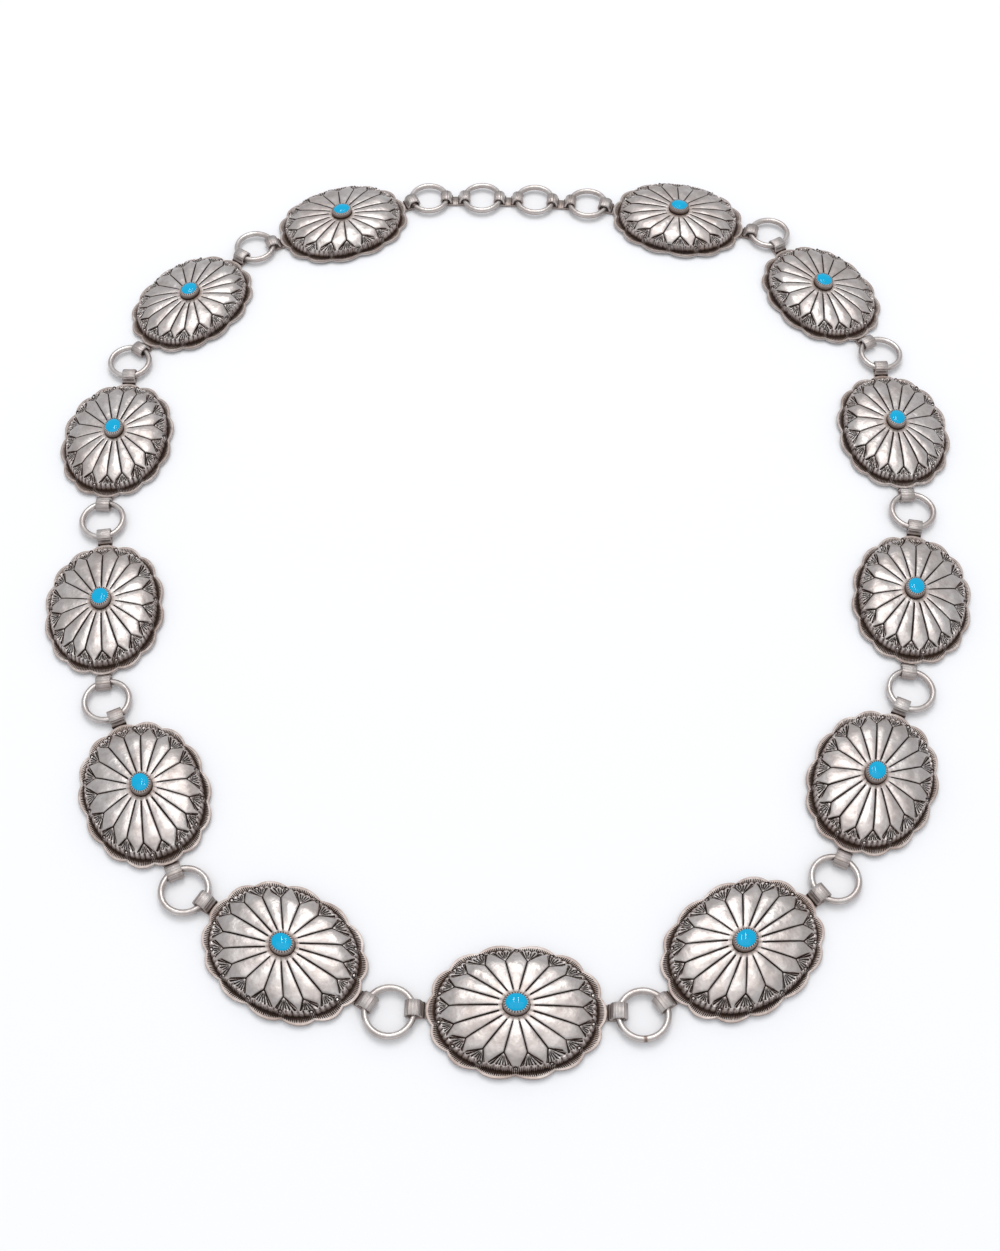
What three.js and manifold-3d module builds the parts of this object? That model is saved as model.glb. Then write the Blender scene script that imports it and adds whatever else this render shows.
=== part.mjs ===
// Concho belt: thirteen domed silver conchos with a turquoise stone each, joined end to end by
// round link rings, and closed at the back by a short chain of rings and double-loop straps.
// Millimetres, +Z up. The belt lies closed on a table at z = 0, its front concho towards -Y.
import * as THREE from "three";
import Module from "manifold-3d";

const wasm = await Module();
wasm.setup();

// Concho plate
const HALF_LENGTH = 24.4; // along the belt
const HALF_WIDTH = 18.65; // across the belt
const OUTLINE_POWER = 2.12; // 2 would be a plain ellipse
const SCALLOPS = 14; // round the rim, one centred on each end
const SCALLOP_DEPTH = 1.2; // how far a cusp is cut in
const RIM_SIDES = 4 * SCALLOPS;
const DOME_SIDES = 2 * SCALLOPS;
const BEZEL_SIDES = SCALLOPS;
const SHEET = 0.8; // thickness of the domed plate

// Strap loops
const STRAP_THICKNESS = 0.7;
const STRAP_WIDTH = 4.4;
const STRAP_UNDER_FLANGE = 4.2; // length soldered to the underside of the rim
const STRAP_SOLDER = 0.06; // how deep strap and plate run into each other
const RIM_TO_FOOT = 0.3; // between the rim and the folded end of the strap
const FOOT_HEIGHT = 2 * STRAP_THICKNESS;
const LOOP_ARC_STEPS = 4;

// Link rings
const RING_RADIUS = 6.65; // to the middle of the wire
const RING_WIRE = 0.95; // radius of the wire
const RING_SIDES = 14;
const WIRE_SIDES = 5;
const WIRE_GAP = 0.25; // clearance between wire and strap
const RIM_TO_WIRE = 3.15; // from the end of the concho to the wire that its loop holds
const LEAN = 8; // degrees that a ring may stand off the line of its concho
const STRAP_SPAN = 6.6; // between the two wires that a back strap joins

// Rises of the concho's surface above its flange
const STEP_RISE = 3.35; // top of the steep step round the dome
const SHOULDER_RISE = 3.95; // where the fan stamps point
const MID_RISE = 4.65;
const DOME_RISE = 5.05;

// Shares of the outline where the surface turns
const FLANGE_INNER = 0.905;
const STEP_SHARE = 0.87;
const SHOULDER_SHARE = 0.7;
const MID_SHARE = 0.42;
const UNDER_FLANGE_SHARE = 0.87; // inner edge of the flange's underside
const UNDER_STEP_SHARE = 0.84;
const UNDER_DOME_SHARE = 0.6;

// Bezel and stone
const STONE_RADIUS = 2.9;
const STONE_GAP = 0.25; // between the stone and its cup
const BEZEL_WALL = 0.45;
const CUP_RISE = 0.15; // of the cup's floor above the dome
const CUP_DEPTH = 1.9;
const STONE_SIDE_HEIGHT = 1.45; // of its straight side
const STONE_HEIGHT = 2.3;
const STONE_CROWN_SHARE = 0.6; // of its radius, where its top turns flatter
const STONE_CROWN_RISE = 0.7; // share of the crown's height reached there
const STONE_SIDES = 12;

// The lying belt, concho by concho: the way it points, then how far the rings before and after it
// stand off that line, in degrees.
const ROUTE = [
  [-156.7, 0.0, -7.8],
  [-124.8, -7.8, 7.8],
  [-91.6, 7.8, 6.5],
  [-82.6, 5.0, 7.8],
  [-65.4, 7.8, 7.8],
  [-31.8, 2.3, 7.8],
  [-1.0, 7.8, -6.1],
  [34.4, -3.4, 7.8],
  [64.5, 1.2, -7.8],
  [79.9, 7.8, 7.8],
  [91.2, 7.8, -7.8],
  [119.2, 7.8, -7.8],
  [165.2, 7.8, 0.0],
];
const LEAST_BEND = 0.6; // of the route's headings, as a share, when the belt's length changes
const MOST_BEND = 1.3;
const BACK_STRETCH = 0.994; // length of the back chain's span as a share of the chain pulled straight
// Share of the back chain's bend taken up to each of its five legs, ring by ring.
const BACK_BEND = [-0.8, -0.4, 0, 0.45, 2.6];
const HALVINGS = 60; // of the range in which a bend or sag is looked for

const rad = THREE.MathUtils.degToRad;
const silver = () => new THREE.MeshStandardMaterial({ color: 0xbdb2ac, metalness: 1, roughness: 0.35 });
const turquoise = () => new THREE.MeshStandardMaterial({ color: 0x109fd8, roughness: 0.35 });
const belt = new THREE.Group();
belt.name = "concho_belt";

function toManifold(geometry) {
  const flat = geometry.index ? geometry.toNonIndexed() : geometry;
  const position = flat.getAttribute("position");
  const seen = new Map();
  const vertices = [];
  const corners = [];
  for (let i = 0; i < position.count; i++) {
    const p = [position.getX(i), position.getY(i), position.getZ(i)];
    const key = p.map((value) => Math.round(value * 1e4)).join();
    if (!seen.has(key)) {
      seen.set(key, vertices.length / 3);
      vertices.push(...p);
    }
    corners.push(seen.get(key));
  }
  const triangles = [];
  for (let i = 0; i < corners.length; i += 3) {
    const [a, b, c] = corners.slice(i, i + 3);
    if (a !== b && b !== c && a !== c) triangles.push(a, b, c);
  }
  return new wasm.Manifold(new wasm.Mesh({
    numProp: 3,
    vertProperties: new Float32Array(vertices),
    triVerts: new Uint32Array(triangles),
  }));
}

function unite(geometries) {
  const mesh = geometries.map(toManifold).reduce((sum, next) => sum.add(next)).getMesh();
  const geometry = new THREE.BufferGeometry();
  const positions = [];
  for (let i = 0; i < mesh.vertProperties.length; i += mesh.numProp) {
    positions.push(...mesh.vertProperties.slice(i, i + 3));
  }
  geometry.setAttribute("position", new THREE.Float32BufferAttribute(positions, 3));
  geometry.setIndex(Array.from(mesh.triVerts));
  return geometry.toNonIndexed();
}

function addMesh(name, geometry, material, x = 0, y = 0, heading = 0) {
  const own = geometry.clone();
  own.computeVertexNormals();
  const mesh = new THREE.Mesh(own, material);
  mesh.name = name;
  mesh.position.set(x, y, 0);
  mesh.rotation.z = heading;
  belt.add(mesh);
}

// A point of the rim's outline, drawn in to a share of its size.
function outlinePoint(angle, share, z) {
  const bend = (value) => Math.sign(value) * Math.abs(value) ** (2 / OUTLINE_POWER);
  return [HALF_LENGTH * share * bend(Math.cos(angle)), HALF_WIDTH * share * bend(Math.sin(angle)), z];
}

const round = (sides) => Array.from({ length: sides }, (_, k) => (k / sides) * 2 * Math.PI);
const outlineRow = (share, z) => round(DOME_SIDES).map((angle) => outlinePoint(angle, share, z));
const circleRow = (radius, z) => round(BEZEL_SIDES).map(
  (angle) => [radius * Math.cos(angle), radius * Math.sin(angle), z]);

// The rim bulges between cusps, and a bulge is centred on each end of the concho.
function rimRow(z) {
  return round(RIM_SIDES).map((angle) => {
    const turn = (angle * SCALLOPS) / (2 * Math.PI);
    const fromCrest = 2 * Math.abs(turn - Math.round(turn));
    const [x, y] = outlinePoint(angle, 1, z);
    const share = 1 - (SCALLOP_DEPTH * fromCrest ** 2) / Math.hypot(x, y);
    return [x * share, y * share, z];
  });
}

// A closed skin through rows of points, with a point in the middle of its first and last row.
// A row may have as many points as the row before it, twice as many or half as many.
function skin(rows, firstMiddle, lastMiddle) {
  const positions = [];
  const triangle = (...points) => points.forEach((p) => positions.push(...p));
  const pick = (row, k) => row[k % row.length];
  for (let k = 0; k < rows[0].length; k++) triangle(firstMiddle, rows[0][k], pick(rows[0], k + 1));
  for (let r = 1; r < rows.length; r++) {
    const [inner, outer] = [rows[r - 1], rows[r]];
    const steps = Math.min(inner.length, outer.length);
    const innerStep = inner.length / steps;
    const outerStep = outer.length / steps;
    for (let k = 0; k < steps; k++) {
      const a = innerStep * k;
      const b = outerStep * k;
      const [aNext, bNext] = [pick(inner, a + innerStep), pick(outer, b + outerStep)];
      if (outerStep > 1) triangle(inner[a], outer[b], outer[b + 1]);
      triangle(inner[a], outer[b + outerStep - 1], bNext);
      if (innerStep > 1) triangle(inner[a], bNext, inner[a + 1]);
      triangle(inner[a + innerStep - 1], bNext, aNext);
    }
  }
  const last = rows[rows.length - 1];
  for (let k = 0; k < last.length; k++) triangle(lastMiddle, pick(last, k + 1), last[k]);
  const geometry = new THREE.BufferGeometry();
  geometry.setAttribute("position", new THREE.Float32BufferAttribute(positions, 3));
  return geometry;
}

const wireReach = HALF_LENGTH + RIM_TO_WIRE;
const flangeBottom = STRAP_THICKNESS - STRAP_SOLDER;
const flangeTop = flangeBottom + SHEET;
const domeTop = flangeTop + DOME_RISE;
const cupRadius = STONE_RADIUS + STONE_GAP;
const bezelRadius = cupRadius + BEZEL_WALL;
const cupFloor = domeTop + CUP_RISE;
const bezelTop = cupFloor + CUP_DEPTH;
const bezelFoot = domeTop - (DOME_RISE - MID_RISE) * (bezelRadius / (MID_SHARE * HALF_WIDTH)) ** 2;
const plate = skin(
  [
    circleRow(cupRadius, cupFloor),
    circleRow(cupRadius, bezelTop),
    circleRow(bezelRadius, bezelTop),
    circleRow(bezelRadius, bezelFoot),
    outlineRow(MID_SHARE, flangeTop + MID_RISE),
    outlineRow(SHOULDER_SHARE, flangeTop + SHOULDER_RISE),
    outlineRow(STEP_SHARE, flangeTop + STEP_RISE),
    outlineRow(FLANGE_INNER, flangeTop),
    rimRow(flangeTop),
    rimRow(flangeBottom),
    outlineRow(UNDER_FLANGE_SHARE, flangeBottom),
    outlineRow(UNDER_STEP_SHARE, flangeTop + STEP_RISE - SHEET),
    outlineRow(UNDER_DOME_SHARE, flangeTop + (SHOULDER_RISE + MID_RISE) / 2 - SHEET),
  ],
  [0, 0, cupFloor],
  [0, 0, domeTop - SHEET],
);

// Loops: side views of a strap folded round a wire, drawn towards +x
const boreRadius = RING_WIRE + WIRE_GAP;
const loopRadius = boreRadius + STRAP_THICKNESS;
const wireHeight = loopRadius;
const halfStrap = STRAP_WIDTH / 2;
const ringBow = RING_RADIUS - Math.sqrt(RING_RADIUS ** 2 - halfStrap ** 2);
const leanPlay = halfStrap * Math.tan(rad(LEAN));

function arc(cx, radius, from, to) {
  return Array.from({ length: LOOP_ARC_STEPS + 1 }, (_, k) => {
    const angle = rad(from + ((to - from) * k) / LOOP_ARC_STEPS);
    return [cx + radius * Math.cos(angle), wireHeight + radius * Math.sin(angle)];
  });
}

// Outline of the folded end, from the bottom out, up, over the wire and down to its foot.
function foldOutline(wireX, play, footX) {
  const inner = wireX - play;
  const outer = wireX + play + ringBow;
  const downBend = arc(inner, loopRadius, 90, 180).filter(([, z]) => z > FOOT_HEIGHT);
  return [...arc(outer, loopRadius, -90, 90), ...downBend, [inner - loopRadius, FOOT_HEIGHT],
    [footX, FOOT_HEIGHT], [footX, STRAP_THICKNESS]];
}

function boreOutline(wireX, play) {
  return [...arc(wireX + play + ringBow, boreRadius, -90, 90), ...arc(wireX - play, boreRadius, 90, 270)];
}

function strapSolid(outline, bores) {
  const shape = new THREE.Shape(outline.map(([x, z]) => new THREE.Vector2(x, z)));
  bores.forEach((bore) => shape.holes.push(new THREE.Path(bore.map(([x, z]) => new THREE.Vector2(x, z)))));
  const solid = new THREE.ExtrudeGeometry(shape, { depth: STRAP_WIDTH, bevelEnabled: false });
  solid.translate(0, 0, -halfStrap);
  solid.rotateX(Math.PI / 2);
  return solid;
}

const strapStart = HALF_LENGTH - STRAP_UNDER_FLANGE;
const conchoStrap = strapSolid(
  [
    [strapStart, 0],
    ...foldOutline(wireReach, leanPlay, HALF_LENGTH + RIM_TO_FOOT),
    [strapStart, STRAP_THICKNESS],
  ],
  [boreOutline(wireReach, leanPlay)],
);
const farStrap = conchoStrap.clone().rotateZ(Math.PI);
const concho = unite([plate, conchoStrap, farStrap]);

const mirror = (points) => points.map(([x, z]) => [-x, z]).reverse();
const backWire = STRAP_SPAN / 2;
const backFoot = backWire - loopRadius - RIM_TO_FOOT;
const backFold = foldOutline(backWire, 0, backFoot);
const backBore = boreOutline(backWire, 0);
const backStrap = unite([strapSolid([...backFold, ...mirror(backFold)], [backBore, mirror(backBore)])]);

const stoneBottom = cupFloor + STONE_GAP;
const crownHeight = STONE_HEIGHT - STONE_SIDE_HEIGHT;
const stone = new THREE.LatheGeometry(
  [
    [0, stoneBottom],
    [STONE_RADIUS, stoneBottom],
    [STONE_RADIUS, stoneBottom + STONE_SIDE_HEIGHT],
    [STONE_RADIUS * STONE_CROWN_SHARE, stoneBottom + STONE_SIDE_HEIGHT + crownHeight * STONE_CROWN_RISE],
    [0, stoneBottom + STONE_HEIGHT],
  ].map(([r, z]) => new THREE.Vector2(r, z)),
  STONE_SIDES,
);
stone.rotateX(Math.PI / 2);

// Rings are drawn a little large, so that their flat sides keep the true radius on average.
const ringScale = 1 / Math.cos(Math.PI / (2 * RING_SIDES));
const ring = new THREE.TorusGeometry(RING_RADIUS * ringScale, RING_WIRE, WIRE_SIDES, RING_SIDES);
ring.translate(0, 0, wireHeight);

// Lay the belt out
const number = (n) => String(n).padStart(2, "0");
const along = (point, heading, length) => [
  point[0] + length * Math.cos(heading), point[1] + length * Math.sin(heading)];
const apart = (a, b) => Math.hypot(b[0] - a[0], b[1] - a[1]);

// The largest value up to which a falling measure stays above its target.
function settle(low, high, measure, target) {
  for (let k = 0; k < HALVINGS; k++) {
    const middle = (low + high) / 2;
    if (measure(middle) > target) low = middle;
    else high = middle;
  }
  return low;
}

// Each ring lies one ring radius from the wire of the concho before it, and so does the next wire
// from the ring. All headings are bent about the front concho's by one share.
function layConchos(bend) {
  const front = Math.floor(ROUTE.length / 2);
  const frontTurn = ROUTE[front][0];
  const headings = ROUTE.map(([turn]) => rad(frontTurn + bend * (turn - frontTurn)));
  const conchos = [[0, 0]];
  const rings = [];
  for (let i = 0; i + 1 < ROUTE.length; i++) {
    const wire = along(conchos[i], headings[i], wireReach);
    const middle = along(wire, headings[i] + rad(ROUTE[i][2]), RING_RADIUS);
    const nextWire = along(middle, headings[i + 1] + rad(ROUTE[i + 1][1]), RING_RADIUS);
    rings.push(middle);
    conchos.push(along(nextWire, headings[i + 1], wireReach));
  }
  const last = ROUTE.length - 1;
  const backStart = along(conchos[last], headings[last], wireReach);
  const backEnd = along(conchos[0], headings[0], -wireReach);
  return { headings, conchos, rings, backStart, backEnd };
}

const ringPitch = 2 * RING_RADIUS + STRAP_SPAN;
const legs = [RING_RADIUS, ringPitch, ringPitch, ringPitch, RING_RADIUS];
const backSpan = BACK_STRETCH * legs.reduce((sum, leg) => sum + leg);
// The room left for the back chain, below zero once the belt's ends have passed each other.
const openness = (bend) => {
  const { backStart, backEnd } = layConchos(bend);
  return Math.sign(backStart[0] - backEnd[0]) * apart(backStart, backEnd);
};
const bend = settle(LEAST_BEND, MOST_BEND, openness, backSpan);
const { headings, conchos, rings, backStart, backEnd } = layConchos(bend);

conchos.forEach(([x, y], i) => {
  addMesh(`concho_${number(i + 1)}`, concho, silver(), x, y, headings[i]);
  addMesh(`turquoise_${number(i + 1)}`, stone, turquoise(), x, y, headings[i]);
});
rings.forEach(([x, y], i) => {
  addMesh(`link_ring_${number(i + 1)}`, ring, silver(), x, y, (headings[i] + headings[i + 1]) / 2);
});

// The back chain bends just enough for its legs to span from the last concho to the first.
const chainEnd = (sag) => legs.reduce((point, leg, k) => along(point, sag * BACK_BEND[k], leg), [0, 0]);
const sag = settle(0, Math.PI / 2, (value) => Math.hypot(...chainEnd(value)), backSpan);
const flatEnd = chainEnd(sag);
const backTurn = Math.atan2(backEnd[1] - backStart[1], backEnd[0] - backStart[0])
  - Math.atan2(flatEnd[1], flatEnd[0]);
let backPoint = backStart;
for (let k = 0; k + 1 < legs.length; k++) {
  const before = backPoint;
  const heading = backTurn + sag * BACK_BEND[k];
  backPoint = along(backPoint, heading, legs[k]);
  addMesh(`back_ring_${k + 1}`, ring, silver(), ...backPoint, heading);
  if (k > 0) {
    const middle = [(before[0] + backPoint[0]) / 2, (before[1] + backPoint[1]) / 2];
    addMesh(`back_strap_${k}`, backStrap, silver(), ...middle, heading);
  }
}

// The origin is under the middle of the whole belt.
const middle = new THREE.Box3().setFromObject(belt, true).getCenter(new THREE.Vector3());
belt.children.forEach((mesh) => mesh.position.sub(new THREE.Vector3(middle.x, middle.y, 0)));

export default belt;
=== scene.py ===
"""Concho belt lying closed on a pale table: stamped silver conchos, turquoise stones, link rings."""

import math

import bpy
import numpy as np
from mathutils import Matrix, Vector


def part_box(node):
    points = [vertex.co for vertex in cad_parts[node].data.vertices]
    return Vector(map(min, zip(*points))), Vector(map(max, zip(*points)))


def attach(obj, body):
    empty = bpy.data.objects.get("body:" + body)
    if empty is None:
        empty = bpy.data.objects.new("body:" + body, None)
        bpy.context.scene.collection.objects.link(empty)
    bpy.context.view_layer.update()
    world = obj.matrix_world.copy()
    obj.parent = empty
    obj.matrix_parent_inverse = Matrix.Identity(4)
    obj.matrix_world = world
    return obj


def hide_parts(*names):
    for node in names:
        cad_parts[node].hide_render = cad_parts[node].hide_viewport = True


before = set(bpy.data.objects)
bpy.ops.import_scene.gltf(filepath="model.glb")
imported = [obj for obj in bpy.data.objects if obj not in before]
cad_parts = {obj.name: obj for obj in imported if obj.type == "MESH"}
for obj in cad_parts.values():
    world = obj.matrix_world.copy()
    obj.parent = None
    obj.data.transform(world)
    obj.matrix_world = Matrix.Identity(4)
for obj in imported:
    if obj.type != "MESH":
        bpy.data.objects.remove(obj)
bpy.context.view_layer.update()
MM = 0.001

# Camera and light
LENS_MM = 45.19
CAMERA_ELEVATION = math.radians(57.51)
CAMERA_ROLL = math.radians(-0.13)
CAMERA_DISTANCE = 490.5
CAMERA_AIM = (-2.07, -27.64, 0.0)

# Concho plate, in millimetres
HALF_LENGTH = 24.4
HALF_WIDTH = 18.65
OUTLINE_POWER = 2.12
SCALLOPS = 14
SCALLOP_DEPTH = 1.2
FLANGE_BOTTOM = 0.64
FLANGE_TOP = 1.44
FLANGE_DISH = 0.16
DOME_TOP = 6.49
DOME_FALL = 2.22
SHOULDER_FALL = 0.85
PLATE_ROOT = 3.3  # radius of the circle under the bezel where the petals start
CENTRE_TOP = 6.4
CENTRE_UNDER = 5.69
UNDERSIDE = ((1.0, FLANGE_BOTTOM), (0.87, FLANGE_BOTTOM), (0.84, 2.7), (0.6, 4.8), (0.3, 5.4), (0.02, 5.68))
ANGLE_STEPS = 560

# Stamping: shares run from the middle of a plate (0) to its rim (1)
RAYS = 18
RAY_START = 3.6  # radius where the rays come out from under the bezel
RAY_WANDER = math.radians(0.45)
CHASED_WIDTH = 0.2
CHASED_DEPTH = 0.28
PETAL_CROWN = 0.24
PETAL_SLANT = 0.07
HAMMER_WAVE = 0.03
FAN_APEX_AT_END = 0.734
FAN_APEX_AT_SIDE = 0.676
FAN_HALF_ANGLE_AT_END = math.radians(41.5)
FAN_HALF_ANGLE_AT_SIDE = math.radians(46)
FAN_WANDER = math.radians(2)
FAN_RIDGES = 6
FAN_SINK = 0.16
FAN_GROOVE_DEPTH = 0.28
FAN_ZONE = 0.6  # from this share outward the rows of points lie closer
LOBES = 72
LOBE_BAND = 0.03
LOBE_REACH = 0.028
LOBE_FALL = 0.2
LOBE_GAP_DEPTH = 0.9
PLATEAU_EDGE = 0.846
WALL_ROWS = (0, 0.08, 0.2, 0.35, 0.52, 0.7, 0.88)
FLANGE_SHARE = 0.905
TICK_PITCH = 0.55
CIRCLE_SHARE = 0.872
CIRCLE_RADIUS = 0.74
CIRCLE_HEIGHT = 3.35
CIRCLE_GROOVE = 0.52
CIRCLE_GROOVE_WIDTH = 0.16
CIRCLE_GROOVE_DEPTH = 0.3

# Bezel, stone, strap and ring
BEZEL_RADIUS = 3.6
BEZEL_TEETH = 26
TOOTH_DEPTH = 0.2
STONE_RADIUS = 2.9
STONE_OVAL = (1.05, 0.89, 1)  # the stones are a little longer than they are wide
STONE_SIDE_TOP = 8.25
STONE_BOTTOM = 6.89
STONE_TOP = 9.19
STONE_STEPS = 64
STRAP_THICKNESS = 0.7
STRAP_WIDTH = 4.4
STRAP_EASE = 0.14
STRAP_UNDER_PLATE = 4.2
STRAP_FOOT_GAP = 0.3
WIRE_REACH = 27.55
BACK_WIRE_REACH = 3.3
RING_RADIUS = 6.65
RING_WIRE = 0.95
RING_STEPS = 96
WIRE_SIDES = 18
OUT_OF_ROUND = 0.05
WIRE_WAVE = 0.012
SEAM_WIDTH = 0.3
WIRE_HEIGHT = 1.9
LOOP_IN = 0.31
LOOP_OUT = 0.68
BORE_RADIUS = 1.2
SEAMS = {"link_ring_04": -40, "link_ring_07": -88, "back_ring_4": -140}  # degrees, where a joint shows

# The belt
CONCHOS = 13
BACK_RINGS = 4
STRAP_TIP_REACH = 29.0  # points of a concho farther out than this are its strap loops
CONCHO_CREASE = 60  # degrees
STRAP_CREASE = 50
CONCHO_SEED = 100
RING_SEED = 300
TABLE_HALF = 2.5  # metres
TABLE_DROP = 0.0003

# Finishes
BRIGHT_PLATE = (0.62, 0.588, 0.575, 1)
BRIGHT_WIRE = (0.66, 0.622, 0.605, 1)
WORN_SHARE = (0.74, 0.71, 0.70)
# Oxide colours, also laid on as painted shade at feet, undersides and tucked strap ends
THIN_OXIDE_AND_SHADE = (0.24, 0.14, 0.10, 1)
DEEP_OXIDE_AND_SHADE = (0.030, 0.023, 0.021, 1)
DEEP_BLUE = (0.0, 0.34, 0.61, 1)
LIGHT_BLUE = (0.0, 0.43, 0.71, 1)
PALE_VEIN = (0.02, 0.56, 0.76, 1)
WINDOW_WHITE = (1, 0.98, 0.96)


# Meshes
# What each point of a shell tells its material, with the value of a point that has no such mark:
# how dark it is from oxidised hollows and painted shade, mm to a chased line, mm to a cusp circle, share of
# a fan, turn in a fan, mm along and from the rim, and mm along a strap.
FAR = 3.0
MARKS = {"recess": 0.0, "line": FAR, "circle": FAR, "fan": 0.0, "fan_turn": 0.0, "along_rim": 0.0,
         "from_rim": 5.0, "along_strap": 0.0}


def make_mesh(name, shells, transform=None, crisp=None):
    """One object from several (points in mm, faces, marks) shells, creased past an angle in degrees."""
    vertices, faces, start = [], [], 0
    marks = {mark: [] for mark in MARKS}
    for points, shell_faces, shell_marks in shells:
        vertices.append(np.asarray(points, dtype=float))
        faces += [tuple(start + i for i in face) for face in shell_faces]
        for mark, plain in MARKS.items():
            value = np.asarray(shell_marks.get(mark, plain), dtype=float)
            marks[mark].append(np.broadcast_to(value, (len(points),)))
        start += len(points)
    points = np.concatenate(vertices)
    if transform is not None:
        points = points @ np.array(transform.to_3x3()).T + np.array(transform.to_translation())
    mesh = bpy.data.meshes.new(name)
    mesh.from_pydata((points * MM).tolist(), [], faces)
    mesh.polygons.foreach_set("use_smooth", [True] * len(mesh.polygons))
    for mark, values in marks.items():
        layer = mesh.attributes.new(mark, "FLOAT", "POINT")
        layer.data.foreach_set("value", np.concatenate(values).astype(np.float32))
    mesh.validate()
    if crisp is not None:
        mesh.set_sharp_from_angle(angle=math.radians(crisp))
    mesh.update()
    piece = bpy.data.objects.new(name, mesh)
    bpy.context.scene.collection.objects.link(piece)
    return piece


def grid_faces(rows, columns):
    """Four-sided faces between rows of points that each close on themselves."""
    faces = []
    for r in range(rows - 1):
        for c in range(columns):
            a, b = r * columns + c, r * columns + (c + 1) % columns
            faces.append((a, b, b + columns, a + columns))
    return faces


def power(value, exponent):
    return np.sign(value) * np.abs(value) ** exponent


def outline(t):
    """The outer curve through the crests of the scallops."""
    e = 2 / OUTLINE_POWER
    return np.stack([HALF_LENGTH * power(np.cos(t), e), HALF_WIDTH * power(np.sin(t), e)], -1)


def smooth(low, high, value):
    x = np.clip((value - low) / (high - low), 0, 1)
    return x * x * (3 - 2 * x)


def dome_height(share):
    return DOME_TOP - DOME_FALL * share**2 - SHOULDER_FALL * smooth(FAN_ZONE, 0.86, share) ** 1.5


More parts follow.
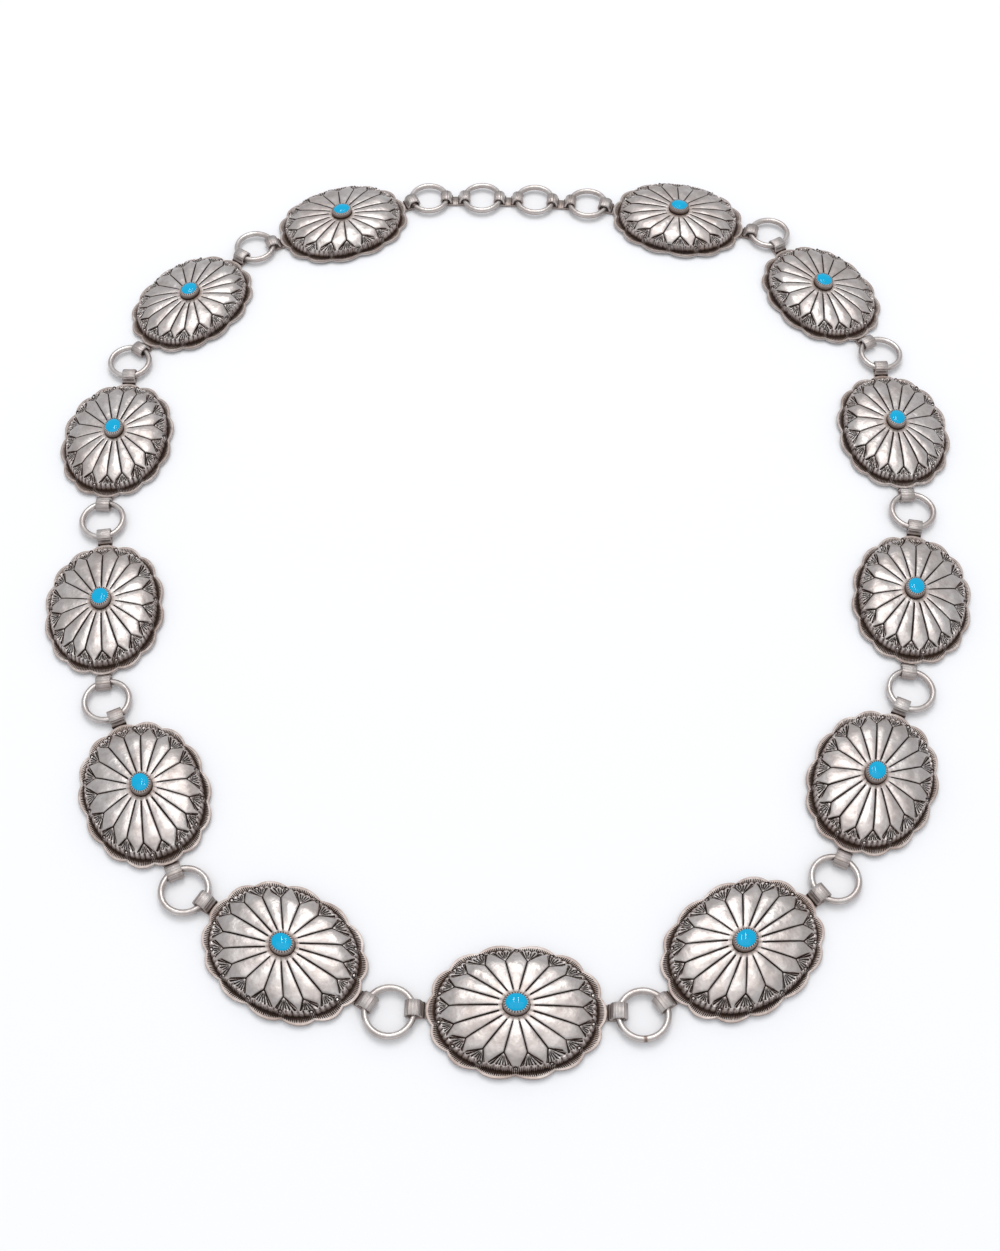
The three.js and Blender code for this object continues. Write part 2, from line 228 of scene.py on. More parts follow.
def plate_shell(rng):
    """Top of a stamped concho, its rim and its hollow underside."""
    t = np.arange(ANGLE_STEPS) / ANGLE_STEPS * 2 * np.pi
    rim = outline(t)
    reach = np.hypot(*rim.T)
    pace = np.hypot(*(np.roll(rim, -1, 0) - np.roll(rim, 1, 0)).T) / 2 / (2 * np.pi / ANGLE_STEPS)
    turn = t * SCALLOPS / (2 * np.pi)
    from_crest = 2 * np.abs(turn - np.round(turn))
    cut = SCALLOP_DEPTH * from_crest**2
    to_cusp = np.abs(turn - np.floor(turn) - 0.5) * 2 * np.pi / SCALLOPS * pace

    # Plateau edge in lobes, with a round tab at each cusp
    lobe = np.abs(np.sin(t * LOBES / 2 + 0.3 * np.sin(t * 5 + rng.uniform(0, 6)))) ** 0.75
    edge = PLATEAU_EDGE + LOBE_REACH * lobe + 0.002 * np.sin(t * 9 + rng.uniform(0, 6))
    cusp_gap = to_cusp * CIRCLE_SHARE
    tab = CIRCLE_SHARE + np.sqrt(np.clip(CIRCLE_RADIUS**2 - cusp_gap**2, 0, None)) / reach
    edge = np.where(cusp_gap < CIRCLE_RADIUS, np.maximum(edge, tab), edge)
    wall_foot = np.maximum(FLANGE_SHARE, edge + 0.014)

    # Rows of points: petals, fans, lobes, the steep step and the flange
    first = PLATE_ROOT / reach
    inner = np.linspace(0, 1, 8)[:-1, None] * (FAN_ZONE - first) + first
    fans = np.linspace(0, 1, 21)[:-1, None] * (edge - FAN_ZONE - LOBE_BAND) + FAN_ZONE
    lobes = edge - LOBE_BAND * np.linspace(1, 0, 6)[:-1, None]
    step = edge + (wall_foot - edge) * np.array(WALL_ROWS)[:, None]
    flange = wall_foot + 0.002 + np.linspace(0, 1, 9)[:, None] * (0.998 - wall_foot)
    share = np.concatenate([inner, fans, lobes, step, flange])
    rows = len(share)
    blend = (share - first) / (1 - first)
    circle = PLATE_ROOT * np.stack([np.cos(t), np.sin(t)], -1)
    flat = circle[None] * (1 - blend[..., None]) + rim[None] * blend[..., None]
    draw_in = smooth(0.87, 1.0, share) * cut[None]
    flat = flat * (1 - draw_in / np.maximum(np.hypot(*np.moveaxis(flat, -1, 0)), 1))[..., None]
    x, y = flat[..., 0], flat[..., 1]
    to_middle = np.hypot(x, y)
    to_rim = (1 - share) * (reach - cut)[None]

    drop = smooth(0, 1, (share - edge) / (wall_foot - edge))
    on_plateau = 1 - drop
    floor_height = FLANGE_TOP - FLANGE_DISH * smooth(1.0, 1.5, to_rim)
    height = dome_height(share) * on_plateau + floor_height * drop
    height -= LOBE_FALL * smooth(-0.02, 0.0, share - edge) ** 1.5 * on_plateau
    rim_of_lobe = smooth(-0.018, 0, share - edge) * on_plateau
    height -= rim_of_lobe * LOBE_GAP_DEPTH * (1 - lobe)[None] ** 1.5

    # Oxide: a dark crescent at the foot of the wall in each scallop, thinner on the flange
    from_wall = (share - wall_foot) * reach
    crescent = 1 - 0.75 * smooth(0.74, 0.98, from_crest)
    recess = smooth(0.25, 0.8, drop) * smooth(1.0, 1.4, to_rim) * crescent
    recess = recess * (1 - 0.6 * smooth(0.1, 0.9, from_wall))
    on_flange = smooth(0.0, 0.3, from_wall)
    recess = np.maximum(recess, on_flange * (0.26 + 0.12 * smooth(0.5, 0.0, to_rim)))
    recess = 0.82 * recess + rim_of_lobe * (1 - lobe)[None] ** 2

    # Rays, and a fan at the end of each
    sector = 2 * np.pi / RAYS
    index = np.round(t / sector).astype(int) % RAYS
    ray_angle = np.arange(RAYS) * sector + rng.normal(0, RAY_WANDER, RAYS)
    off_ray = (t - ray_angle[index] + np.pi) % (2 * np.pi) - np.pi
    endward = np.cos(ray_angle) ** 2
    apex_share = FAN_APEX_AT_SIDE + (FAN_APEX_AT_END - FAN_APEX_AT_SIDE) * endward
    apex_share = apex_share + rng.normal(0, 0.004, RAYS)
    half_angle = FAN_HALF_ANGLE_AT_SIDE + (FAN_HALF_ANGLE_AT_END - FAN_HALF_ANGLE_AT_SIDE) * endward
    apex_rim = outline(ray_angle)
    apex_first = PLATE_ROOT / np.hypot(*apex_rim.T)
    apex_blend = ((apex_share - apex_first) / (1 - apex_first))[:, None]
    apex_circle = PLATE_ROOT * np.stack([np.cos(ray_angle), np.sin(ray_angle)], -1)
    apex = apex_circle * (1 - apex_blend) + apex_rim * apex_blend
    pointing = np.arctan2(*(apex_rim - apex_circle).T[::-1]) + rng.normal(0, FAN_WANDER, RAYS)
    aim, half = pointing[index][None], half_angle[index][None]
    dx, dy = x - apex[index, 0][None], y - apex[index, 1][None]
    out = dx * np.cos(aim) + dy * np.sin(aim)
    across = -dx * np.sin(aim) + dy * np.cos(aim)
    from_apex = np.hypot(out, across)
    angle = np.abs(np.arctan2(across, out))
    ray_line = np.where(out > 0, from_apex, np.abs(off_ray)[None] * pace[None] * share)
    ray_line = ray_line + FAR * smooth(RAY_START + 0.4, RAY_START, to_middle)
    side_line = np.where(np.abs(angle - half) < 1.5, from_apex * np.abs(np.sin(angle - half)), from_apex)
    past_fan = smooth(-0.022, -0.012, share - edge)
    line = np.minimum(ray_line, side_line + FAR * past_fan)
    inside_fan = smooth(0.06, -0.06, angle - half) * smooth(-0.1, 0.2, out)
    fan = inside_fan * smooth(0.75, 1.2, from_apex) * (1 - smooth(-0.03, -0.02, share - edge))
    ridge = 0.5 + 0.5 * np.cos(angle / half * FAN_RIDGES * np.pi)

    # Petals, a little crowned, each struck at its own slant
    petal_index = np.floor(t / sector).astype(int) % RAYS
    petal_place = np.clip(np.abs(off_ray)[None] / (sector / 2), 0, 1)
    in_petal = 1 - smooth(0.76, 0.86, share)
    crown = PETAL_CROWN * smooth(0.2, 0.5, share) * (1 - (1 - petal_place) ** 1.8) * in_petal
    slant = rng.normal(0, PETAL_SLANT, RAYS)[petal_index] * ((t / sector - petal_index) * 2 - 1)
    crown = crown + slant[None] * smooth(0.25, 0.6, share) * in_petal
    height += (crown * (1 - inside_fan) - FAN_SINK * inside_fan * (1 - past_fan)) * on_plateau
    height -= CHASED_DEPTH * np.exp(-((line / CHASED_WIDTH) ** 2)) * on_plateau
    height -= FAN_GROOVE_DEPTH * fan * smooth(0.75, 0.45, ridge)
    wave = np.sin(x * 0.9 + rng.uniform(0, 6)) * np.sin(y * 1.1 + rng.uniform(0, 6))
    height += HAMMER_WAVE * wave * on_plateau

    # Small circle on the tab at each cusp
    to_circle = np.hypot(cusp_gap[None], (share - CIRCLE_SHARE) * reach[None])
    on_tab = (1 - smooth(CIRCLE_RADIUS - 0.12, CIRCLE_RADIUS + 0.05, to_circle)) * on_plateau
    groove = np.exp(-(((to_circle - CIRCLE_GROOVE) / CIRCLE_GROOVE_WIDTH) ** 2))
    height = height * (1 - on_tab) + on_tab * (CIRCLE_HEIGHT - CIRCLE_GROOVE_DEPTH * groove)
    recess = recess * (1 - on_tab)
    line = line + FAR * on_tab
    fan = fan * (1 - on_tab)

    # Painted shade in a ring round the foot of the bezel
    recess = np.clip(recess + 0.8 * np.exp(-(((to_middle - BEZEL_RADIUS) / 0.4) ** 2)), 0, 1)

    # Top, rounded rim and hollow underside, closed at the middle
    top = np.stack([x, y, height], -1).reshape(-1, 3)
    rim_line = flat[-1]
    rim_height = np.full(ANGLE_STEPS, (FLANGE_BOTTOM + FLANGE_TOP) / 2)
    under = [np.column_stack([rim_line, rim_height]) * (1.004, 1.004, 1)]
    for under_share, under_height in UNDERSIDE:
        under_line = rim_line if under_share == 1 else rim * under_share
        under.append(np.column_stack([under_line, np.full(ANGLE_STEPS, under_height)]))
    under = np.concatenate(under)
    points = np.concatenate([top, under, [[0, 0, CENTRE_UNDER], [0, 0, CENTRE_TOP]]])
    faces = grid_faces(rows, ANGLE_STEPS)
    base = (rows - 1) * ANGLE_STEPS
    faces += [tuple(base + i for i in face) for face in grid_faces(len(UNDERSIDE) + 2, ANGLE_STEPS)]
    last = base + (len(UNDERSIDE) + 1) * ANGLE_STEPS
    centre_under, centre_top = len(points) - 2, len(points) - 1
    for c in range(ANGLE_STEPS):
        n = (c + 1) % ANGLE_STEPS
        faces.append((centre_under, last + c, last + n))
        faces.append((centre_top, n, c))
    marks = {"recess": recess, "line": np.minimum(line, FAR), "circle": np.minimum(to_circle, FAR),
             "fan": fan, "fan_turn": np.minimum(angle / half, 3),
             "along_rim": np.broadcast_to(to_cusp, share.shape), "from_rim": to_rim}
    rest = len(points) - len(top)
    for mark, values in marks.items():
        marks[mark] = np.concatenate([values.ravel(), np.full(rest, MARKS[mark])])
    return points, [face[::-1] for face in faces], marks


def turned(profile, steps, recess, wave=None):
    """A shell turned round Z from (radius, height) points; wave shifts and darkens each point by angle."""
    t = np.arange(steps) / steps * 2 * np.pi
    points, dark = [], []
    for k, (radius, z) in enumerate(profile):
        dr, dz, extra = wave(k, t) if wave else (0, 0, 0)
        points.append(np.stack([(radius + dr) * np.cos(t), (radius + dr) * np.sin(t), z + dz + 0 * t], -1))
        dark.append(np.clip(recess[k] + extra + 0 * t, 0, 1))
    return np.concatenate(points), grid_faces(len(profile), steps), {"recess": np.concatenate(dark)}


def bezel_shell():
    """Thin band round the stone, its top edge filed into teeth and pressed in over the stone."""
    profile = [(3.72, 6.3), (3.62, 6.5), (3.55, 6.8), (3.52, 7.5), (3.46, 8.0), (3.36, 8.32), (3.18, 8.58),
               (2.96, 8.72), (2.74, 8.73), (2.68, 8.66), (2.86, 8.54), (2.96, 8.3), (2.98, 7.2)]
    # Painted shade: the band is black at its foot on the plate and inside under its lip, lighter up its wall
    recess = [1, 1, 0.8, 0.4, 0.2, 0.1, 0.03, 0, 0, 0.2, 0.9, 1, 1]

    def teeth(k, t):
        gap = np.abs((t * BEZEL_TEETH / (2 * np.pi)) % 1 * 2 - 1) ** 1.5
        if 6 <= k <= 10:
            return TOOTH_DEPTH * gap * (0.3 if k < 8 else 1), -TOOTH_DEPTH * gap, 0.9 * gap
        return 0 * t, 0 * t, 0 * t

    points, faces, marks = turned(profile, BEZEL_TEETH * 6, recess, teeth)
    return points * STONE_OVAL, faces, marks


def sweep(path, normals, half_width, half_thickness, dark):
    """A flat strip along a path in the XZ plane, with eased edges and closed ends."""
    ease = STRAP_EASE
    section = [(-half_width + ease, half_thickness), (half_width - ease, half_thickness),
               (half_width, half_thickness - ease), (half_width, -half_thickness + ease),
               (half_width - ease, -half_thickness), (-half_width + ease, -half_thickness),
               (-half_width, -half_thickness + ease), (-half_width, half_thickness - ease)]
    points = []
    for (px, pz), (nx, nz) in zip(path, normals):
        points += [(px + nx * h, w, pz + nz * h) for w, h in section]
    faces = grid_faces(len(path), len(section))
    faces.append(tuple(range(len(section)))[::-1])
    faces.append(tuple((len(path) - 1) * len(section) + k for k in range(len(section))))
    path = np.asarray(path, dtype=float)
    length = np.concatenate([[0], np.cumsum(np.hypot(*np.diff(path, axis=0).T))])
    marks = {"recess": np.repeat(np.asarray(dark, dtype=float), len(section)),
             "along_strap": np.repeat(length + 1, len(section))}
    return np.array(points), [face[::-1] for face in faces], marks


def path_normals(path):
    """Directions square to a path, to the left of it."""
    path = np.asarray(path, dtype=float)
    along = np.gradient(path, axis=0)
    along /= np.hypot(*along.T)[:, None]
    return np.stack([-along[:, 1], along[:, 0]], -1)


def fold(wire_x, loop_in, loop_out, foot_x):
    """Middle line of a strap end: out under the wire, round it and back down to its foot."""
    radius = BORE_RADIUS + STRAP_THICKNESS / 2
    outer, inner = wire_x + loop_out, wire_x - loop_in
    path = []
    for middle, turn in ((outer, np.linspace(-90, 90, 13)), (inner, np.linspace(95, 165, 8))):
        for a in np.radians(turn):
            path.append((middle + radius * math.cos(a), WIRE_HEIGHT + radius * math.sin(a)))
    start = path[-1]
    end = (foot_x, STRAP_THICKNESS * 1.5)
    for s in np.linspace(0.25, 1, 5):
        drop = start[1] + (end[1] - start[1]) * math.sin(s * math.pi / 2)
        path.append((start[0] + (end[0] - start[0]) * s**1.6, drop))
    return path


def strap_shell(flip):
    """The strap at one end of a concho, from under the plate round the wire of a link ring."""
    start = HALF_LENGTH - STRAP_UNDER_PLATE
    bend = fold(WIRE_REACH, LOOP_IN, LOOP_OUT, HALF_LENGTH + STRAP_FOOT_GAP)
    half = STRAP_THICKNESS / 2
    path = [(x, half) for x in np.linspace(start, WIRE_REACH + LOOP_OUT - 0.3, 8)] + bend
    # Painted shade: the lower run under the plate and fold is shaded a little, the end shaded to black as it
    # drops to its foot
    dark = [0.3] * 8 + [0.05] * 13 + [0.0] * 8 + [0.02, 0.1, 0.4, 0.8, 1.0]
    points, faces, marks = sweep(path, path_normals(path), STRAP_WIDTH / 2, half, dark)
    if flip:
        points = points * (-1, -1, 1)
    return points, faces, marks


def back_strap_shell():
    """A strap of the back chain, folded round a ring at both ends."""
    wire = BACK_WIRE_REACH
    foot = wire - BORE_RADIUS - STRAP_THICKNESS - STRAP_FOOT_GAP
    out = RING_RADIUS - math.sqrt(RING_RADIUS**2 - (STRAP_WIDTH / 2) ** 2)
    bend = fold(wire, 0, out, foot)
    half = STRAP_THICKNESS / 2
    flat = [(x, half) for x in np.linspace(-wire - out + 0.3, wire + out - 0.3, 9)]
    other = [(-x, z) for x, z in bend][::-1]
    path = other + flat + bend
    # Painted shade: the flat middle under the folds is shaded a little, each end shaded to black as it drops
    # to its foot
    ends = [0.1] * 13 + [0.02] * 8 + [0.05, 0.2, 0.5, 0.8, 1.0]
    dark = ends[::-1] + [0.3] * 9 + ends
    return sweep(path, path_normals(path), STRAP_WIDTH / 2, half, dark)


def ring_shell(rng, seam):
    """A bent wire ring, with a soldered seam at an angle in degrees where one shows."""
    t = np.arange(RING_STEPS) / RING_STEPS * 2 * np.pi
    s = np.arange(WIRE_SIDES) / WIRE_SIDES * 2 * np.pi
    notch = 0 * t
    if seam is not None:
        off = np.abs((t - math.radians(seam) + np.pi) % (2 * np.pi) - np.pi) * RING_RADIUS
        notch = np.exp(-((off / SEAM_WIDTH) ** 2))
    radius = RING_RADIUS + OUT_OF_ROUND * np.sin(2 * t + rng.uniform(0, 6))
    wire = RING_WIRE * (1 - 0.08 * notch) + WIRE_WAVE * np.sin(5 * t + rng.uniform(0, 6))
    ring_r = radius[:, None] + wire[:, None] * np.cos(s)[None]
    z = WIRE_HEIGHT + wire[:, None] * np.sin(s)[None]
    points = np.stack([ring_r * np.cos(t)[:, None], ring_r * np.sin(t)[:, None], z], -1).reshape(-1, 3)
    faces = grid_faces(RING_STEPS, WIRE_SIDES)
    base = (RING_STEPS - 1) * WIRE_SIDES
    for c in range(WIRE_SIDES):
        n = (c + 1) % WIRE_SIDES
        faces.append((base + c, base + n, n, c))
    # Painted shade: the wire darkens from its middle down to its underside; the seam darkens as its joint
    low = 0.6 * smooth(0.3, -0.7, np.sin(s))
    dark = np.clip(0.9 * notch[:, None] + low[None], 0, 1).ravel()
    return points, faces, {"recess": dark}


def stone_shell():
    """A cabochon: straight sides with a low domed top."""
    profile = [(0.01, STONE_BOTTOM), (STONE_RADIUS - 0.1, STONE_BOTTOM), (STONE_RADIUS, STONE_BOTTOM + 0.1),
               (STONE_RADIUS, STONE_SIDE_TOP)]
    for a in np.linspace(8, 89.5, 14):
        a = math.radians(a)
        rise = (STONE_TOP - STONE_SIDE_TOP) * math.sin(a) ** 0.95
        profile.append((STONE_RADIUS * math.cos(a), STONE_SIDE_TOP + rise))
    points, faces, marks = turned(profile, STONE_STEPS, [0] * len(profile))
    return points * STONE_OVAL, faces, marks


# Materials
def new_group(name, inputs, outputs):
    group = bpy.data.node_groups.new(name, "ShaderNodeTree")
    for label, kind, value in inputs:
        socket = group.interface.new_socket(label, in_out="INPUT", socket_type=kind)
        if value is not None:
            socket.default_value = value
    for label, kind in outputs:
        group.interface.new_socket(label, in_out="OUTPUT", socket_type=kind)
    nodes = group.nodes
    return group, nodes.new("NodeGroupInput"), nodes.new("NodeGroupOutput")


def add(tree, kind, **values):
    node = tree.nodes.new(kind)
    for key, value in values.items():
        if key.startswith("in_"):
            node.inputs[key[3:].replace("_", " ")].default_value = value
        else:
            setattr(node, key, value)
    return node


def math_node(tree, operation, a, b=None, c=None, clamp=False):
    node = tree.nodes.new("ShaderNodeMath")
    node.operation = operation
    node.use_clamp = clamp
    for socket, value in zip(node.inputs, (a, b, c)):
        if value is None:
            continue
        if isinstance(value, (int, float)):
            socket.default_value = value
        else:
            tree.links.new(value, socket)
    return node.outputs[0]


def mix_colour(tree, factor, a, b):
    node = tree.nodes.new("ShaderNodeMix")
    node.data_type = "RGBA"
    for socket, value in zip((node.inputs[0], node.inputs[6], node.inputs[7]), (factor, a, b)):
        if isinstance(value, (tuple, float, int)):
            socket.default_value = value
        else:
            tree.links.new(value, socket)
    return node.outputs[2]


def noise(tree, vector, scale, detail=4.0, roughness=0.55, stretch=None):
    if stretch is not None:
        mapping = add(tree, "ShaderNodeMapping")
        mapping.inputs["Scale"].default_value = stretch
        tree.links.new(vector, mapping.inputs["Vector"])
        vector = mapping.outputs["Vector"]
    node = add(tree, "ShaderNodeTexNoise", in_Scale=scale, in_Detail=detail, in_Roughness=roughness)
    tree.links.new(vector, node.inputs["Vector"])
    return node.outputs["Fac"]


def make_scratches():
    """Fine hairlines in three directions."""
    group, source, sink = new_group(
        "fine scratches", [("Vector", "NodeSocketVector", None), ("Strength", "NodeSocketFloat", 1.0)],
        [("Height", "NodeSocketFloat"), ("Haze", "NodeSocketFloat")])
    vector = source.outputs["Vector"]
    total = None
    for turn, stretch in ((0.3, (900, 60, 60)), (1.4, (60, 1100, 60)), (2.4, (1300, 90, 90))):
        rotate = add(group, "ShaderNodeMapping")
        rotate.inputs["Rotation"].default_value = (0, 0, turn)
        group.links.new(vector, rotate.inputs["Vector"])
        lines = noise(group, rotate.outputs["Vector"], 1.0, 2.0, 0.5, stretch)
        lines = math_node(group, "POWER", lines, 3.0)
        total = lines if total is None else math_node(group, "ADD", total, lines)
    group.links.new(math_node(group, "MULTIPLY", total, source.outputs["Strength"]), sink.inputs["Height"])
    haze = noise(group, vector, 160.0, 5.0, 0.6)
    group.links.new(math_node(group, "MULTIPLY", haze, source.outputs["Strength"]), sink.inputs["Haze"])
    return group


def make_oxide_and_shade():
    """Oxide in recesses, painted shade at feet and undersides: black where it is deep, copper brown where it
    thins out.
    """
    group, source, sink = new_group(
        "oxide in recesses",
        [("Vector", "NodeSocketVector", None), ("Recess", "NodeSocketFloat", 0.0),
         ("Film", "NodeSocketFloat", 0.2)],
        [("Mask", "NodeSocketFloat"), ("Colour", "NodeSocketColor")])
    vector, recess = source.outputs["Vector"], source.outputs["Recess"]
    blotch = noise(group, vector, 420.0, 5.0, 0.65)
    cloud = noise(group, vector, 90.0, 5.0, 0.65)
    film = math_node(group, "MULTIPLY", math_node(group, "SUBTRACT", cloud, 0.38, clamp=True),
                     source.outputs["Film"])
    uneven = math_node(group, "MULTIPLY_ADD", blotch, 0.9, 0.75)
    deep = math_node(group, "MULTIPLY", recess, uneven, clamp=True)
    group.links.new(math_node(group, "ADD", deep, film, clamp=True), sink.inputs["Mask"])
    depth = math_node(group, "MULTIPLY_ADD", recess, 1.6, -0.55, clamp=True)
    colour = mix_colour(group, depth, THIN_OXIDE_AND_SHADE, DEEP_OXIDE_AND_SHADE)
    group.links.new(colour, sink.inputs["Colour"])
    return group


def make_stamping():
    """Oxide and depth of the stamped lines, fans, cusp circles and rim ticks, from a plate's marks."""
    group, source, sink = new_group(
        "stamped lines",
        [(label, "NodeSocketFloat", 0.0) for label in
         ("Line", "Circle", "Fan", "Fan Turn", "Along Rim", "From Rim", "Unevenness")],
        [("Recess", "NodeSocketFloat"), ("Depth", "NodeSocketFloat")])
    mark = source.outputs
    wide = math_node(group, "MULTIPLY_ADD", mark["Unevenness"], 0.16, 0.14)
    line = math_node(group, "SUBTRACT", wide, mark["Line"])
    line = math_node(group, "MULTIPLY", line, 8.0, clamp=True)
    wave = math_node(group, "COSINE", math_node(group, "MULTIPLY", mark["Fan Turn"], FAN_RIDGES * math.pi))
    wedge = math_node(group, "MULTIPLY_ADD", wave, -1.6, 0.1, clamp=True)
    wedge = math_node(group, "MULTIPLY", wedge, mark["Fan"])
    groove = math_node(group, "ABSOLUTE", math_node(group, "SUBTRACT", mark["Circle"], CIRCLE_GROOVE))
    groove = math_node(group, "MULTIPLY_ADD", groove, -9.0, 1.5, clamp=True)
    comb = math_node(group, "MULTIPLY", mark["Along Rim"], 2 * math.pi / TICK_PITCH)
    comb = math_node(group, "COSINE", comb)
    comb = math_node(group, "MULTIPLY_ADD", comb, 1.4, 0.25, clamp=True)
    outer = math_node(group, "MULTIPLY_ADD", mark["From Rim"], 5.0, -3.1, clamp=True)
    inner = math_node(group, "MULTIPLY_ADD", mark["From Rim"], -2.0, 5.4, clamp=True)
    comb = math_node(group, "MULTIPLY", comb, math_node(group, "MULTIPLY", outer, inner))
    total = math_node(group, "MAXIMUM", math_node(group, "MAXIMUM", line, wedge),
                      math_node(group, "MAXIMUM", groove, comb))
    group.links.new(total, sink.inputs["Recess"])
    group.links.new(math_node(group, "MULTIPLY", total, -1.0), sink.inputs["Depth"])
    return group


scratches = make_scratches()
oxide_and_shade = make_oxide_and_shade()
stamping = make_stamping()


def mark_value(tree, mark):
    return add(tree, "ShaderNodeAttribute", attribute_name=mark, attribute_type="GEOMETRY").outputs["Fac"]


def bumped(tree, height, distance, strength, under=None):
    bump = add(tree, "ShaderNodeBump", in_Strength=strength, in_Distance=distance)
    tree.links.new(height, bump.inputs["Height"])
    if under is not None:
        tree.links.new(under, bump.inputs["Normal"])
    return bump.outputs["Normal"]


def silver_material(name, polish, film, roughness, scratch, plate=False):
    """Hand-worked silver with oxidised recesses and painted shade at feet and undersides, and the stamped
    pattern on a plate.
    """
    material = bpy.data.materials.new(name)
    material.use_nodes = True
    tree = material.node_tree
    shader = tree.nodes["Principled BSDF"]
    shader.inputs["Metallic"].default_value = 1.0
    position = add(tree, "ShaderNodeTexCoord").outputs["Object"]
    recess = mark_value(tree, "recess")
    planish = noise(tree, position, 300.0, 3.0, 0.5)
    normal = bumped(tree, planish, 0.00028 if plate else 0.00008, 1.0)
    strokes = add(tree, "ShaderNodeTexNoise", noise_dimensions="1D", in_Scale=3.2, in_Detail=3.0)
    tree.links.new(mark_value(tree, "along_strap"), strokes.inputs["W"])
    normal = bumped(tree, strokes.outputs["Fac"], 0.0002, 1.0, normal)
    stroke_oxide = math_node(tree, "MULTIPLY_ADD", strokes.outputs["Fac"], 6.0, -3.5, clamp=True)
    recess = math_node(tree, "MAXIMUM", recess, math_node(tree, "MULTIPLY", stroke_oxide, 0.6))
    if plate:
        stamps = tree.nodes.new("ShaderNodeGroup")
        stamps.node_tree = stamping
        for label, mark in (("Line", "line"), ("Circle", "circle"), ("Fan", "fan"), ("Fan Turn", "fan_turn"),
                            ("Along Rim", "along_rim"), ("From Rim", "from_rim")):
            tree.links.new(mark_value(tree, mark), stamps.inputs[label])
        tree.links.new(noise(tree, position, 260.0, 2.0), stamps.inputs["Unevenness"])
        recess = math_node(tree, "MAXIMUM", recess, stamps.outputs["Recess"])
        normal = bumped(tree, stamps.outputs["Depth"], 0.00015, 0.8, normal)
    mark = tree.nodes.new("ShaderNodeGroup")
    mark.node_tree = oxide_and_shade
    mark.inputs["Film"].default_value = film
    tree.links.new(position, mark.inputs["Vector"])
    tree.links.new(recess, mark.inputs["Recess"])
    fine = tree.nodes.new("ShaderNodeGroup")
    fine.node_tree = scratches
    fine.inputs["Strength"].default_value = scratch
    tree.links.new(position, fine.inputs["Vector"])
    tone = noise(tree, position, 280.0, 6.0, 0.72)
    duller = tuple(c * k for c, k in zip(polish[:3], WORN_SHARE)) + (1,)
    contrast = math_node(tree, "MULTIPLY_ADD", tone, 3.2, -1.1, clamp=True)
    worn = mix_colour(tree, contrast, polish, duller)
    colour = mix_colour(tree, mark.outputs["Mask"], worn, mark.outputs["Colour"])
    tree.links.new(colour, shader.inputs["Base Color"])
    rough = math_node(tree, "MULTIPLY_ADD", fine.outputs["Haze"], 0.16, roughness - 0.08)
    rough = math_node(tree, "MULTIPLY_ADD", mark.outputs["Mask"], 0.35, rough, clamp=True)
    tree.links.new(rough, shader.inputs["Roughness"])
    normal = bumped(tree, fine.outputs["Height"], 0.00004, 0.35, normal)
    tree.links.new(normal, shader.inputs["Normal"])
    return material


def turquoise_material():
    material = bpy.data.materials.new("polished turquoise")
    material.use_nodes = True
    tree = material.node_tree
    shader = tree.nodes["Principled BSDF"]
    shader.inputs["Roughness"].default_value = 0.05
    shader.inputs["Specular IOR Level"].default_value = 0.24
    position = add(tree, "ShaderNodeTexCoord").outputs["Object"]
    cloud = noise(tree, position, 240.0, 5.0, 0.6)
    vein = noise(tree, position, 900.0, 6.0, 0.7)
    blue = mix_colour(tree, cloud, DEEP_BLUE, LIGHT_BLUE)
    pale = math_node(tree, "MULTIPLY_ADD", vein, 3.0, -1.75, clamp=True)
    colour = mix_colour(tree, math_node(tree, "MULTIPLY", pale, 0.3), blue, PALE_VEIN)
    tree.links.new(colour, shader.inputs["Base Color"])
    tree.links.new(bumped(tree, vein, 0.00001, 0.02), shader.inputs["Normal"])
    return material


plate_silver = silver_material("stamped silver", BRIGHT_PLATE, 0.9, 0.36, 1.0, plate=True)
wire_silver = silver_material("polished wire silver", BRIGHT_WIRE, 0.9, 0.30, 1.0)
turquoise = turquoise_material()


# The belt, laid on its CAD solids
def node_points(name):
    """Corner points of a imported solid, in millimetres."""
    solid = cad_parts[name]
    matrix = np.array(solid.matrix_world)
    points = np.empty(len(solid.data.vertices) * 3)
    solid.data.vertices.foreach_get("co", points)
    return (points.reshape(-1, 3) @ matrix[:3, :3].T + matrix[:3, 3]) / MM


def node_middle(name):
    low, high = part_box(name)
    return (Vector(low) + Vector(high)).to_2d() / 2 / MM


def dress(piece, node, material):
    """Give a piece its material and its place in the frame."""
    piece.data.materials.append(material)
    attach(piece, "root")
    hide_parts(node)


def placed(middle, heading):
    return Matrix.Translation((middle[0], middle[1], 0)) @ Matrix.Rotation(heading, 4, "Z")


centres = [node_middle(f"turquoise_{k:02d}") for k in range(1, CONCHOS + 1)]
for k in range(CONCHOS):
    node = f"concho_{k + 1:02d}"
    centre = centres[k]
    points = node_points(node)[:, :2] - np.array(centre)
    far = points[np.hypot(*points.T) > STRAP_TIP_REACH]
    ahead = centres[k + 1] - centre if k + 1 < CONCHOS else centre - centres[k - 1]
    front = far[far @ np.array(ahead) > 0].mean(0)
    heading = math.atan2(front[1], front[0])
    rng = np.random.default_rng(CONCHO_SEED + k)
    place = placed(centre, heading)
    shells = [plate_shell(rng), bezel_shell(), strap_shell(False), strap_shell(True)]
    dress(make_mesh(f"stamped_{node}", shells, place, CONCHO_CREASE), node, plate_silver)
    stone = make_mesh(f"cabochon_{k + 1:02d}", [stone_shell()], place)
    dress(stone, f"turquoise_{k + 1:02d}", turquoise)

ring_nodes = [f"link_ring_{k:02d}" for k in range(1, CONCHOS)]
ring_nodes += [f"back_ring_{k}" for k in range(1, BACK_RINGS + 1)]
for k, node in enumerate(ring_nodes):
    rng = np.random.default_rng(RING_SEED + k)
    ring = make_mesh(f"wire_{node}", [ring_shell(rng, SEAMS.get(node))], placed(node_middle(node), 0))
    dress(ring, node, wire_silver)

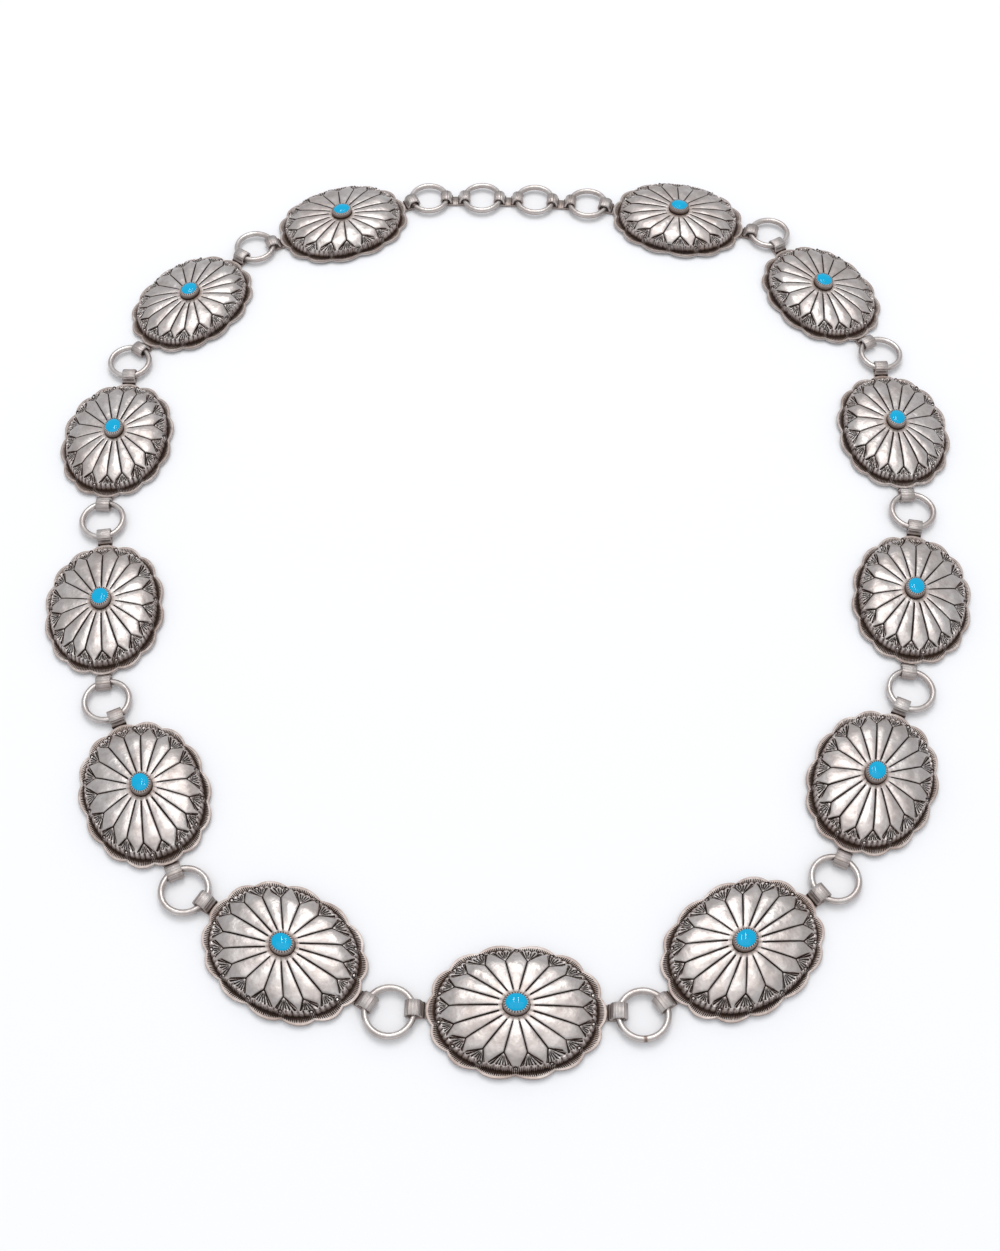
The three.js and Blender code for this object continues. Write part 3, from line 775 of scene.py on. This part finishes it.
for k in range(1, BACK_RINGS):
    node = f"back_strap_{k}"
    direction = node_middle(f"back_ring_{k + 1}") - node_middle(f"back_ring_{k}")
    heading = math.atan2(direction[1], direction[0])
    place = placed(node_middle(node), heading)
    strap = make_mesh(f"folded_{node}", [back_strap_shell()], place, STRAP_CREASE)
    dress(strap, node, wire_silver)


# Table, lights and camera
def make_table():
    mesh = bpy.data.meshes.new("table")
    corners = [(x * TABLE_HALF, y * TABLE_HALF, 0) for x, y in ((-1, -1), (1, -1), (1, 1), (-1, 1))]
    mesh.from_pydata(corners, [], [(0, 1, 2, 3)])
    table = bpy.data.objects.new("table", mesh)
    bpy.context.scene.collection.objects.link(table)
    table.location.z = -TABLE_DROP
    material = bpy.data.materials.new("pale table")
    material.use_nodes = True
    shader = material.node_tree.nodes["Principled BSDF"]
    shader.inputs["Base Color"].default_value = (0.92, 0.92, 0.94, 1)
    shader.inputs["Roughness"].default_value = 0.9
    shader.inputs["Specular IOR Level"].default_value = 0.1
    mesh.materials.append(material)


def area_light(name, place, aim, size, energy):
    light = bpy.data.lights.new(name, "AREA")
    light.shape = "RECTANGLE"
    light.size, light.size_y = size
    light.energy = energy
    light.color = WINDOW_WHITE
    lamp = bpy.data.objects.new(name, light)
    bpy.context.scene.collection.objects.link(lamp)
    lamp.location = place
    lamp.rotation_euler = (Vector(aim) - Vector(place)).to_track_quat("-Z", "Y").to_euler()


make_table()
for side, x in (("left", -0.2), ("right", 0.2)):
    area_light(f"window {side} pane", (x, 0.64, 1.5), (x, 0, 0), (0.075, 0.8), 3.6)
area_light("overhead", (0, -0.25, 1.7), (0, 0, 0), (2.0, 1.3), 6.5)

world = bpy.data.worlds.new("studio")
bpy.context.scene.world = world
world.use_nodes = True
sky = world.node_tree.nodes["Background"]
sky.inputs["Color"].default_value = (0.94, 0.972, 1.0, 1)
sky.inputs["Strength"].default_value = 0.725
bpy.context.scene.view_settings.view_transform = "Standard"

camera_data = bpy.data.cameras.new("camera")
camera_data.lens = LENS_MM
camera_data.sensor_width = 36
camera_data.clip_start, camera_data.clip_end = 0.01, 20
camera = bpy.data.objects.new("camera", camera_data)
bpy.context.scene.collection.objects.link(camera)
back = Vector((0, -math.cos(CAMERA_ELEVATION), math.sin(CAMERA_ELEVATION)))
camera.location = (Vector(CAMERA_AIM) + back * CAMERA_DISTANCE) * MM
camera.rotation_mode = "QUATERNION"
roll = Matrix.Rotation(CAMERA_ROLL, 3, "Z").to_quaternion()
camera.rotation_quaternion = (-back).to_track_quat("-Z", "Y") @ roll
bpy.context.scene.camera = camera
